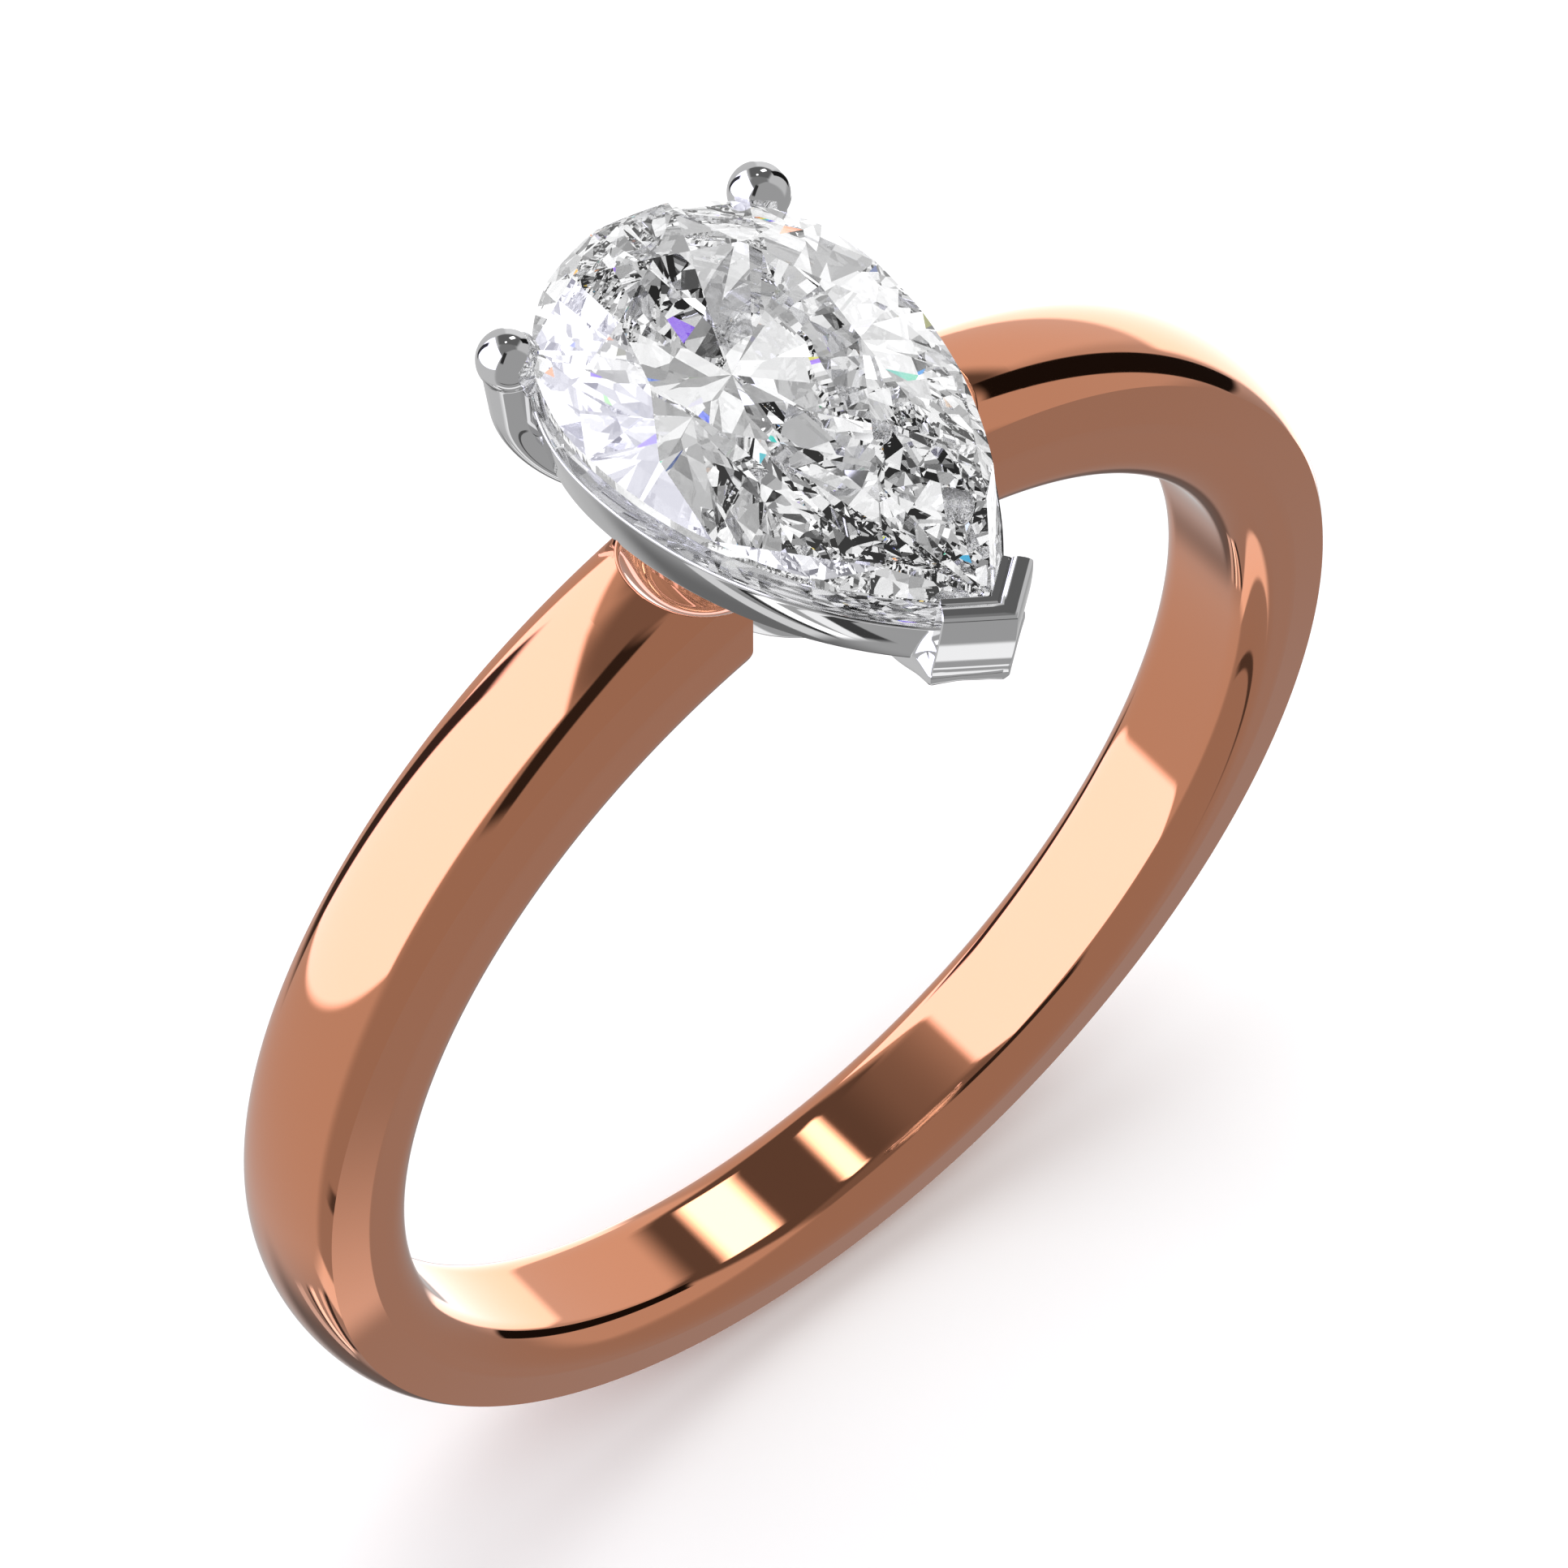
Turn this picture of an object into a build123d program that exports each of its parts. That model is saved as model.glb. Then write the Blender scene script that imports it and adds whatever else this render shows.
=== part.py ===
from build123d import *
import os
from math import asin, cos, degrees, hypot, radians, sin, sqrt

os.makedirs("parts", exist_ok=True)

# A pear-cut solitaire ring. The finger runs along Y, the stone sits at +Z with its point towards -Y,
# and the origin is the middle of the finger hole.

# Shank
bore_radius = 8.25          # US size 6
band_half_width = 1.10
bore_edge_round = 0.50
outer_radius = 10.12        # circle of the crown's ridge
outer_centre_z = 0.33       # lifted, so the band is thicker under the stone
dome_half_axis_y = 1.16
dome_half_axis_r = 0.62
dome_edge_y = 1.02          # where the dome stops and the side starts
side_lean_depth = 0.65      # the side leans out to full width over this depth
crease_round = 0.05
side_round = 0.50

# Seat for the head in the top of the shank
seat_half_length = 3.02
seat_half_width = 1.30
seat_floor_z = 9.45
seat_cove = 0.45
seat_height = 3.0

# Collar: the round base of the head
collar_radius = 2.08
collar_wall = 0.40
collar_bottom_z = 8.95
collar_top_z = 9.55
collar_edge_round = 0.08
collar_middle_z = (collar_bottom_z + collar_top_z) / 2

# Pear outline, shared by the stone, the rail and the prongs
pear_half_width = 2.67
pear_centre_y = 1.43        # height of the widest line
pear_round_length = 3.00    # from the widest line to the round end
pear_tip_length = 5.54      # from the widest line to the point

# Diamond
girdle_bottom_z = 11.15
girdle_top_z = 11.37
table_z = 12.02
culet_z = 8.95
culet_y = 1.42
table_scale = 0.56
star_reach = 0.52           # how far the star facets reach towards the girdle
lower_half_reach = 0.78     # how far the lower-half facets reach towards the culet

# Gallery rail under the girdle
rail_bottom_z = 9.78
rail_top_z = 10.72
rail_outer_grow_bottom = -0.07
rail_outer_grow_top = 0.08
rail_inner_grow_bottom = -0.42
rail_inner_grow_top = -0.55

# Claw prongs at the round end
claw_x = 2.33
claw_y = 3.55
claw_ball_z = 11.20
claw_ball_radius = 0.45
claw_radius = 0.36
claw_bend_reach = 4.08      # from the Z axis, in the claw's own upright plane
claw_bend_z = 8.78
claw_bend_radius = 1.20

# V prong over the point
v_half_angle = 53.5         # between each arm and the ring's length
v_arm_top = 1.06
v_arm_bottom = 1.12
v_wall = 0.47
v_corner_top_y = -4.69      # outer corner
v_corner_bottom_y = -4.53
v_top_z = 11.50
v_bottom_z = 9.85
v_top_bevel = 0.08
leg_heel_y = -4.10          # where the leg's underside leaves the V
leg_knee_y = -2.70          # where the underside levels out
leg_under_z = 9.04
leg_over_z = 9.50
leg_over_knee_y = -2.60
leg_over_top_y = -3.60
leg_over_top_z = 10.10
leg_foot_half_width = 0.45
leg_bend_radius = 0.60

setting_gap = 0.01          # between the stone and the metal that holds it
prong_foot_reach = collar_radius - collar_wall / 2
wing_radius = (pear_half_width**2 + pear_tip_length**2) / (2 * pear_half_width)


def pear_face(level, grow=0.0):
    """The pear outline as a face at one height, grown or shrunk all round."""
    half_width = pear_half_width + grow
    round_length = pear_round_length + grow
    tip_length = pear_tip_length + grow / sin(radians(v_half_angle))
    right = (half_width, pear_centre_y)
    left = (-half_width, pear_centre_y)
    tip = (0, pear_centre_y - tip_length)
    with BuildSketch(Plane.XY.offset(level)) as face:
        with BuildLine():
            EllipticalCenterArc((0, pear_centre_y), half_width, round_length, 0, arc_size=180)
            TangentArc(left, tip, tangent=(0, -1))
            TangentArc(right, tip, tangent=(0, -1))
        make_face()
    return face.sketch


# Seat: a round-ended pocket with coved edges, cut across the crown under the head
with BuildPart() as seat_pocket:
    with BuildSketch(Plane.XY.offset(seat_floor_z)):
        SlotOverall(2 * seat_half_length, 2 * seat_half_width)
    extrude(amount=seat_height)
    fillet(seat_pocket.faces().sort_by(Axis.Z)[0].edges(), radius=seat_cove)

# Shank: a domed band, bored for the finger, open at the top and cut back for the head
with BuildPart() as shank:
    band_plane = Plane((0, 0, outer_centre_z), x_dir=(1, 0, 0), z_dir=(0, 0, 1))
    dome_edge_drop = dome_half_axis_r * (1 - sqrt(1 - (dome_edge_y / dome_half_axis_y) ** 2))
    dome_centre_r = outer_radius - dome_half_axis_r
    dome_edge_r = outer_radius - dome_edge_drop
    dome_edge_angle = degrees(asin(dome_edge_y / dome_half_axis_y))
    full_width_r = dome_edge_r - side_lean_depth
    blank_inner_r = bore_radius - 1.0
    with BuildSketch(band_plane) as band_section:
        with BuildLine():
            EllipticalCenterArc(
                (dome_centre_r, 0),
                dome_half_axis_r,
                dome_half_axis_y,
                -dome_edge_angle,
                arc_size=2 * dome_edge_angle,
            )
            Polyline(
                (dome_edge_r, -dome_edge_y),
                (full_width_r, -band_half_width),
                (blank_inner_r, -band_half_width),
                (blank_inner_r, band_half_width),
                (full_width_r, band_half_width),
                (dome_edge_r, dome_edge_y),
            )
        make_face()
        creases = band_section.vertices().group_by(Axis.X)[-1]
        fillet(creases, radius=crease_round)
        leans = band_section.vertices().filter_by(lambda v: abs(v.X - full_width_r) < 0.01)
        fillet(leans, radius=side_round)
    revolve(axis=Axis((0, 0, outer_centre_z), (0, 1, 0)))

    # finger hole with rounded edges
    flare_r = bore_radius + bore_edge_round
    straight_y = band_half_width - bore_edge_round
    past_y = band_half_width + 1.0
    with BuildSketch(Plane.XY):
        with BuildLine():
            Polyline(
                (bore_radius, -straight_y),
                (bore_radius, straight_y),
            )
            CenterArc((flare_r, straight_y), bore_edge_round, 90, 90)
            CenterArc((flare_r, -straight_y), bore_edge_round, 180, 90)
            Polyline(
                (flare_r, band_half_width),
                (flare_r, past_y),
                (0, past_y),
                (0, -past_y),
                (flare_r, -past_y),
                (flare_r, -band_half_width),
            )
        make_face()
    revolve(axis=Axis.Y, mode=Mode.SUBTRACT)

    # seat for the head, and the gap that the collar fills
    add(seat_pocket.part, mode=Mode.SUBTRACT)
    with BuildSketch(Plane.XY.offset(bore_radius / 2)):
        Circle(collar_radius)
    extrude(amount=bore_radius, mode=Mode.SUBTRACT)

def outline_point(bearing, level):
    """Where a bearing from the pear's centre meets the outline, and which way the outline runs there."""
    dx, dy = cos(radians(bearing)), sin(radians(bearing))
    if dy >= 0:
        reach = 1 / hypot(dx / pear_half_width, dy / pear_round_length)
        x, y = reach * dx, reach * dy
        run = Vector(-y / pear_round_length**2, x / pear_half_width**2, 0)
    elif abs(dx) < 1e-6:
        x, y = 0, -pear_tip_length
        run = Vector(1, 0, 0)
    else:
        centre_x = pear_half_width - wing_radius
        side = 1 if dx > 0 else -1
        along = abs(dx) * centre_x
        reach = along + sqrt(along**2 - centre_x**2 + wing_radius**2)
        x, y = reach * dx, reach * dy
        run = Vector(-y, x - side * centre_x, 0)
    return Vector(x, y + pear_centre_y, level), run.normalized()


def facet(a, b, c):
    """A plane through three points that faces away from the middle of the stone."""
    normal = (b - a).cross(c - a).normalized()
    if normal.dot(a - stone_middle) < 0:
        normal = -normal
    return Plane(a, z_dir=normal)


def ridge_point(plane_a, plane_b, level):
    """The point at one height on the ridge where two facets meet."""
    floor = Vector(0, 0, 1)
    a, b = plane_a.z_dir, plane_b.z_dir
    reach_a, reach_b = a.dot(plane_a.origin), b.dot(plane_b.origin)
    total = b.cross(floor) * reach_a + floor.cross(a) * reach_b + a.cross(b) * level
    return total * (1 / a.dot(b.cross(floor)))


# Diamond: eight mains round the outline, with stars, upper halves and lower halves between them
mains = 8
main_step = 360 / mains
stone_middle = Vector(0, pear_centre_y, (girdle_bottom_z + girdle_top_z) / 2)
culet = Vector(0, culet_y, culet_z)
table_middle = Vector(0, culet_y, table_z)
star_z = table_z + (girdle_top_z - table_z) * star_reach
lower_half_z = girdle_bottom_z + (culet_z - girdle_bottom_z) * lower_half_reach

bezels, pavilion_mains, table_corners = [], [], []
for main in range(mains):
    upper, run = outline_point(main * main_step - 90, girdle_top_z)
    lower, _ = outline_point(main * main_step - 90, girdle_bottom_z)
    above = Vector(upper.X, upper.Y, table_z)
    corner = table_middle + (above - table_middle) * table_scale
    table_corners.append(corner)
    bezels.append(facet(upper, upper + run, corner))
    pavilion_mains.append(facet(lower, lower + run, culet))

halves = []
for main in range(mains):
    after = (main + 1) % mains
    star_tip = ridge_point(bezels[main], bezels[after], star_z)
    lower_tip = ridge_point(pavilion_mains[main], pavilion_mains[after], lower_half_z)
    halves.append(facet(table_corners[main], table_corners[after], star_tip))
    for neighbour in (main, after):
        middle_bearing = (main + 0.5) * main_step - 90
        for tip, level in ((star_tip, girdle_top_z), (lower_tip, girdle_bottom_z)):
            girdle_main, _ = outline_point(neighbour * main_step - 90, level)
            girdle_middle, _ = outline_point(middle_bearing, level)
            halves.append(facet(girdle_main, girdle_middle, tip))

with BuildPart() as pear_diamond:
    extrude(pear_face(culet_z), amount=table_z - culet_z)
    for cut in bezels + pavilion_mains + halves:
        split(bisect_by=cut, keep=Keep.BOTTOM)

# The stone's seat in the metal, larger than the stone by the setting gap
seat_scale = 1 + setting_gap / pear_half_width
with BuildPart() as stone_seat:
    add(pear_diamond.part.translate(-stone_middle))
    scale(by=seat_scale)
    stone_seat.part = stone_seat.part.translate(stone_middle)


# Collar: a ring that joins the shank's two ends, relieved for the culet
with BuildPart() as collar:
    with BuildSketch(Plane.XY.offset(collar_bottom_z)):
        Circle(collar_radius)
        Circle(collar_radius - collar_wall, mode=Mode.SUBTRACT)
    extrude(amount=collar_top_z - collar_bottom_z)
    fillet(collar.edges().filter_by(GeomType.CIRCLE), radius=collar_edge_round)
    add(stone_seat.part, mode=Mode.SUBTRACT)


def claw(side):
    """A claw prong: a ball over the stone's edge and a wire that curves in to the collar."""
    outward = Vector(side * claw_x, claw_y, 0).normalized()
    upright = Plane((0, 0, 0), x_dir=outward, z_dir=outward.cross(Vector(0, 0, 1)))
    with BuildPart() as prong:
        with BuildLine(upright) as wire:
            FilletPolyline(
                (hypot(claw_x, claw_y), claw_ball_z),
                (claw_bend_reach, claw_bend_z),
                (prong_foot_reach, collar_middle_z),
                radius=claw_bend_radius,
            )
        with BuildSketch(Plane(wire.line @ 0, z_dir=wire.line % 0)):
            Circle(claw_radius)
        sweep(path=wire.line)
        with Locations((side * claw_x, claw_y, claw_ball_z)):
            Sphere(claw_ball_radius)
        add(stone_seat.part, mode=Mode.SUBTRACT)
        add(collar.part, mode=Mode.SUBTRACT)
    return prong


claw_prong_left = claw(-1)
claw_prong_right = claw(1)


def chevron(level, corner_y, arm):
    """The V prong's plan at one height: two arms that meet on the ring's long side."""
    angle = radians(v_half_angle)
    along_x, along_y = arm * sin(angle), arm * cos(angle)
    in_x, in_y = v_wall * cos(angle), v_wall * sin(angle)
    with BuildSketch(Plane.XY.offset(level)) as plan:
        with BuildLine():
            Polyline(
                (0, corner_y),
                (along_x, corner_y + along_y),
                (along_x - in_x, corner_y + along_y + in_y),
                (0, corner_y + v_wall / sin(angle)),
                (in_x - along_x, corner_y + along_y + in_y),
                (-along_x, corner_y + along_y),
                close=True,
            )
        make_face()
    return plan.sketch


# V prong's leg: as wide as the V at its heel, and curved in to the collar
with BuildPart() as v_leg:
    arm_end_x = v_arm_bottom * sin(radians(v_half_angle))
    arm_end_y = v_corner_bottom_y + v_arm_bottom * cos(radians(v_half_angle))
    with BuildSketch(Plane.XY.offset(leg_under_z)):
        with BuildLine():
            Polyline(
                (0, v_corner_bottom_y),
                (arm_end_x, arm_end_y),
                (leg_foot_half_width, -prong_foot_reach),
                (-leg_foot_half_width, -prong_foot_reach),
                (-arm_end_x, arm_end_y),
                close=True,
            )
        make_face()
    extrude(amount=leg_over_top_z - leg_under_z)
    with BuildSketch(Plane.YZ) as leg_side:
        with BuildLine():
            Polyline(
                (v_corner_bottom_y, leg_over_top_z),
                (v_corner_bottom_y, v_bottom_z),
                (leg_heel_y, v_bottom_z),
                (leg_knee_y, leg_under_z),
                (-prong_foot_reach, leg_under_z),
                (-prong_foot_reach, leg_over_z),
                (leg_over_knee_y, leg_over_z),
                (leg_over_top_y, leg_over_top_z),
                close=True,
            )
        make_face()
        knees = leg_side.vertices().filter_by(
            lambda v: abs(v.X - leg_knee_y) < 0.01 or abs(v.X - leg_over_knee_y) < 0.01
        )
        fillet(knees, radius=leg_bend_radius)
    extrude(amount=arm_end_x, both=True, mode=Mode.INTERSECT)

# V prong: a chevron over the stone's point, carried by its leg
with BuildPart() as v_prong:
    loft([
        chevron(v_bottom_z, v_corner_bottom_y, v_arm_bottom),
        chevron(v_top_z, v_corner_top_y, v_arm_top),
    ])
    chamfer(v_prong.faces().sort_by(Axis.Z)[-1].edges(), length=v_top_bevel)
    add(v_leg.part)
    add(stone_seat.part, mode=Mode.SUBTRACT)
    add(collar.part, mode=Mode.SUBTRACT)

# Gallery rail: a pear-shaped band that leans out to the girdle and stops at each prong
with BuildPart() as gallery_rail:
    outer_bottom = pear_face(rail_bottom_z, rail_outer_grow_bottom)
    outer_top = pear_face(rail_top_z, rail_outer_grow_top)
    loft([outer_bottom, outer_top])
    inner_bottom = pear_face(rail_bottom_z, rail_inner_grow_bottom)
    inner_top = pear_face(rail_top_z, rail_inner_grow_top)
    loft([inner_bottom, inner_top], mode=Mode.SUBTRACT)
    for prong in (claw_prong_left, claw_prong_right, v_prong):
        add(prong.part, mode=Mode.SUBTRACT)
    add(stone_seat.part, mode=Mode.SUBTRACT)

pieces = {
    "shank": shank,
    "collar": collar,
    "gallery_rail": gallery_rail,
    "claw_prong_left": claw_prong_left,
    "claw_prong_right": claw_prong_right,
    "v_prong": v_prong,
    "pear_diamond": pear_diamond,
}
for name, piece in pieces.items():
    piece.part.label = name
    export_step(piece.part, f"parts/{name}.step")
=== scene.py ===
import math

import bmesh
import bpy
from mathutils import Matrix, Vector


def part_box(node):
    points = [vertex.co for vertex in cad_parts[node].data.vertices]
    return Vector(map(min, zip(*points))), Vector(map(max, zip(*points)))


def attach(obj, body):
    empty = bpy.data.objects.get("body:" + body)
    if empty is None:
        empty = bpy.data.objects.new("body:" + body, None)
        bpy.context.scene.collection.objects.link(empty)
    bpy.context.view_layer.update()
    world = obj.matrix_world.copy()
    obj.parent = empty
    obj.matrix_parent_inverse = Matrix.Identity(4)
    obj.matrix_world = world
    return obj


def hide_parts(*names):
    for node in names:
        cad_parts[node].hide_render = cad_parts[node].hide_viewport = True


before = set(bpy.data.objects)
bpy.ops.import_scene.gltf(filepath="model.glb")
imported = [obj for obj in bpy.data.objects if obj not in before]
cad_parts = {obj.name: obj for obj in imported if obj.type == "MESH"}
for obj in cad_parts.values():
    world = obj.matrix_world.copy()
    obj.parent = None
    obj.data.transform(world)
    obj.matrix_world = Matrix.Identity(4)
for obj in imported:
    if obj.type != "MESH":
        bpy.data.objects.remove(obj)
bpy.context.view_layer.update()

# Sizes below are in millimetres, in the CAD frame: the finger runs along Y and the stone is at +Z
MM = 0.001

# Camera: a long lens, turned to the ring's left front and looking down on the stone
CAMERA_AZIMUTH = math.radians(-40.62)
CAMERA_ELEVATION = math.radians(54.83)
CAMERA_DISTANCE = 132.0
CAMERA_LENS = 201.1
CAMERA_AIM_RIGHT = -0.19
CAMERA_AIM_UP = 1.43

# Shank
BORE_RADIUS = 8.25
BAND_HALF_WIDTH = 1.10
BORE_EDGE_ROUND = 0.50
OUTER_RADIUS = 10.117       # of the crown's ridge
OUTER_CENTRE_Z = 0.33       # lifted, so the band is thicker under the stone
DOME_HALF_AXIS_Y = 1.16
DOME_HALF_AXIS_R = 0.62
DOME_EDGE_Y = 1.02          # where the dome stops and the side starts
SIDE_LEAN_DEPTH = 0.65      # the side leans out to full width over this depth
GAP_RADIUS = 2.08
GAP_EDGE_ROUND = 0.50

# Seat for the head, cut in the crown
SEAT_HALF_LENGTH = 3.02
SEAT_HALF_WIDTH = 1.30
SEAT_FLOOR_Z = 9.45
SEAT_COVE_REACH = 0.55      # how far the cove reaches in from the seat's edge
SEAT_COVE_RISE = 2.0        # how fast its parabola climbs
SEAT_EDGE_SOFTNESS = 0.09   # of the rim between the seat and the dome
SEAT_REACH_X = 3.6          # no part of the seat lies further out

# Collar
COLLAR_RADIUS = 2.08
COLLAR_BORE = 1.68
COLLAR_BOTTOM_Z = 8.95
COLLAR_TOP_Z = 9.55
COLLAR_ROUND = 0.08

# Pear outline and diamond
PEAR_HALF_WIDTH = 2.67
PEAR_CENTRE_Y = 1.43
PEAR_ROUND_LENGTH = 3.00
PEAR_TIP_LENGTH = 5.54
WING_RADIUS = (PEAR_HALF_WIDTH**2 + PEAR_TIP_LENGTH**2) / (2 * PEAR_HALF_WIDTH)
GIRDLE_BOTTOM_Z = 11.15
GIRDLE_TOP_Z = 11.37
TABLE_Z = 12.02
CULET = Vector((0, 1.42, 8.95))
TABLE_SCALE = 0.56
STAR_REACH = 0.52
LOWER_HALF_REACH = 0.78
MAINS = 8
STONE_MIDDLE = Vector((0, PEAR_CENTRE_Y, (GIRDLE_BOTTOM_Z + GIRDLE_TOP_Z) / 2))

# Gallery rail: (distance out from the pear outline, height) round its section
RAIL_SECTION = [
    # outer wall, which leans out towards the top
    (-0.07, 9.82), (-0.06, 9.84), (0.063, 10.62), (0.072, 10.67), (0.076, 10.69), (0.072, 10.71),
    # ledge under the girdle
    (0.055, 10.72), (0.02, 10.715), (-0.02, 10.70), (-0.22, 10.68), (-0.46, 10.64), (-0.50, 10.60),
    # inner wall and bottom
    (-0.42, 9.80), (-0.40, 9.78), (-0.11, 9.78), (-0.08, 9.79),
]

# Claws
CLAW_X = 2.33
CLAW_Y = 3.55
CLAW_BALL_Z = 11.20
CLAW_BALL_RADIUS = 0.47
CLAW_WIRE_RADIUS = 0.415    # at the ball
CLAW_WIRE_TAPER = 0.042     # lost from the radius for each millimetre down the wire
CLAW_BEND = (4.08, 8.78)    # reach from the Z axis, and height
CLAW_FOOT = (1.88, 9.25)
CLAW_BEND_RADIUS = 1.20

# V prong: a chevron, and the leg that carries it
V_HALF_ANGLE = math.radians(53.5)
V_ARM_TOP = 1.06
V_ARM_BOTTOM = 1.12
V_CORNER_TOP_Y = -4.685
V_CORNER_BOTTOM_Y = -4.53
V_TOP_Z = 11.50
V_BOTTOM_Z = 9.85
V_WALL = 0.47
V_BOTTOM_ROUND = 0.24
V_BULGE = 0.11              # of the outer face, at 1.1 mm from its proudest line
V_PROUD_Z = 10.95
# the stepped top: (distance in from the outer face, drop from the top)
V_STEP = [
    (0.022, 0.045), (0.04, 0.025), (0.08, 0.01), (0.15, 0.0), (0.22, 0.008), (0.27, 0.025), (0.305, 0.055),
    (0.315, 0.09), (0.335, 0.095), (0.36, 0.075), (0.42, 0.07), (0.455, 0.08), (0.47, 0.105), (0.47, 0.20),
]
LEG_BACK_Y = -4.46
LEG_LENGTH = 2.55
LEG_HEEL_Y = -4.10
LEG_KNEE_Y = -2.70
LEG_UNDER_Z = 9.04
LEG_OVER_TOP_Y = -3.60
LEG_OVER_KNEE_Y = -2.60
LEG_OVER_TOP_Z = 10.10
LEG_OVER_Z = 9.50
LEG_WIDE_Y = -3.87
LEG_WIDE_HALF_WIDTH = 0.90
LEG_FOOT_HALF_WIDTH = 0.45

# Studio
LAMP_DISTANCE = 250
BACKDROP = 1.0
FLOOR_FILL = 0.98


def add_piece(name, points, faces, slot, *nodes, smooth_angle=30):
    """A mesh piece, sized in millimetres, that stands for its CAD nodes and rides on the ring."""
    mesh = bpy.data.meshes.new(name)
    mesh.from_pydata([Vector(point) * MM for point in points], [], faces)
    mesh.validate()
    mesh.shade_smooth()
    for polygon in mesh.polygons:
        polygon.use_smooth = len(polygon.vertices) == 4
    mesh.set_sharp_from_angle(angle=math.radians(smooth_angle))
    piece = bpy.data.objects.new(name, mesh)
    bpy.context.scene.collection.objects.link(piece)
    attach(piece, "root")
    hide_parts(*nodes)
    return piece


def grid_faces(rows, columns, wrap_rows=False):
    """Quads over a grid of points, closed across the columns, and along the rows if asked."""
    faces = []
    for row in range(rows if wrap_rows else rows - 1):
        after = (row + 1) % rows
        for column in range(columns):
            beside = (column + 1) % columns
            faces.append((
                row * columns + column,
                row * columns + beside,
                after * columns + beside,
                after * columns + column,
            ))
    return faces


def capped_grid(rings):
    """A closed skin over a run of rings with the same number of points, flat at both ends."""
    columns = len(rings[0])
    points = [point for ring in rings for point in ring]
    faces = grid_faces(len(rings), columns)
    faces.append(tuple(reversed(range(columns))))
    faces.append(tuple(range(len(points) - columns, len(points))))
    return points, faces


def soft_min(a, b, softness):
    """The smaller of two heights, with a rounded change from one to the other."""
    share = max(softness - abs(a - b), 0) / softness
    return min(a, b) - share * share * softness / 4


def ease(value, start, end):
    """How far a value has come from start to end, from 0 to 1: plain, and eased in and out."""
    share = min(max((value - start) / (end - start), 0), 1)
    return share, share * share * (3 - 2 * share)


def arc_point(centre, radius, angle):
    return centre[0] + radius * math.cos(angle), centre[1] + radius * math.sin(angle)


# ---------------------------------------------------------------- shank

def shank_section():
    """Half of the band's section, from the bore's middle to the dome's middle.

    Each point is (y, radius round the bore, radius round the crown's own centre, share of the latter).
    """
    points = []
    straight = BAND_HALF_WIDTH - BORE_EDGE_ROUND
    for step in range(10):
        points.append((straight * step / 10, BORE_RADIUS, 0, 0))
    for step in range(17):
        angle = math.pi / 2 * step / 16
        points.append((
            straight + BORE_EDGE_ROUND * math.sin(angle),
            BORE_RADIUS + BORE_EDGE_ROUND * (1 - math.cos(angle)),
            0,
            0,
        ))
    dome_centre_r = OUTER_RADIUS - DOME_HALF_AXIS_R
    dome_edge = math.asin(DOME_EDGE_Y / DOME_HALF_AXIS_Y)
    dome_edge_r = dome_centre_r + DOME_HALF_AXIS_R * math.cos(dome_edge)
    full_width_r = dome_edge_r - SIDE_LEAN_DEPTH
    flare_r = BORE_RADIUS + BORE_EDGE_ROUND
    for step in range(1, 5):
        points.append((BAND_HALF_WIDTH, flare_r, full_width_r, step / 4))
    for step in range(1, 31):
        share = step / 30
        y = BAND_HALF_WIDTH + (DOME_EDGE_Y - BAND_HALF_WIDTH) * share
        points.append((y, 0, full_width_r + SIDE_LEAN_DEPTH * share, 1))
    for step in range(1, 111):
        angle = dome_edge * (1 - step / 110)
        points.append((
            DOME_HALF_AXIS_Y * math.sin(angle),
            0,
            dome_centre_r + DOME_HALF_AXIS_R * math.cos(angle),
            1,
        ))
    return points


def shank_reach(section_point, angle):
    """How far a point of the section lies from the bore's axis, at one angle round the ring."""
    _, bore_r, crown_r, share = section_point
    lift = OUTER_CENTRE_Z * math.sin(angle)
    crown = lift + math.sqrt(max(crown_r**2 - (OUTER_CENTRE_Z * math.cos(angle)) ** 2, 0))
    return bore_r + (crown - bore_r) * share


def seat_height(x, y):
    """The height of the seat's surface: a flat floor, and a cove that sweeps up to the seat's edge."""
    past_middle = max(abs(x) - (SEAT_HALF_LENGTH - SEAT_HALF_WIDTH), 0)
    inside = SEAT_HALF_WIDTH - math.hypot(past_middle, y)
    return SEAT_FLOOR_Z + SEAT_COVE_RISE * max(SEAT_COVE_REACH - inside, 0) ** 2


def gap_angle(section_point):
    """The angle past the top at which the gap ends for this section point."""
    y = section_point[0]
    angle = math.asin(GAP_RADIUS / BORE_RADIUS)
    for _ in range(8):
        reach = shank_reach(section_point, math.pi / 2 + angle)
        over_bore = min(reach - BORE_RADIUS, GAP_EDGE_ROUND)
        back = GAP_EDGE_ROUND - over_bore
        round_off = GAP_EDGE_ROUND - math.sqrt(GAP_EDGE_ROUND**2 - back**2)
        angle = math.asin((math.sqrt(GAP_RADIUS**2 - y**2) + round_off) / reach)
    return angle


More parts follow.
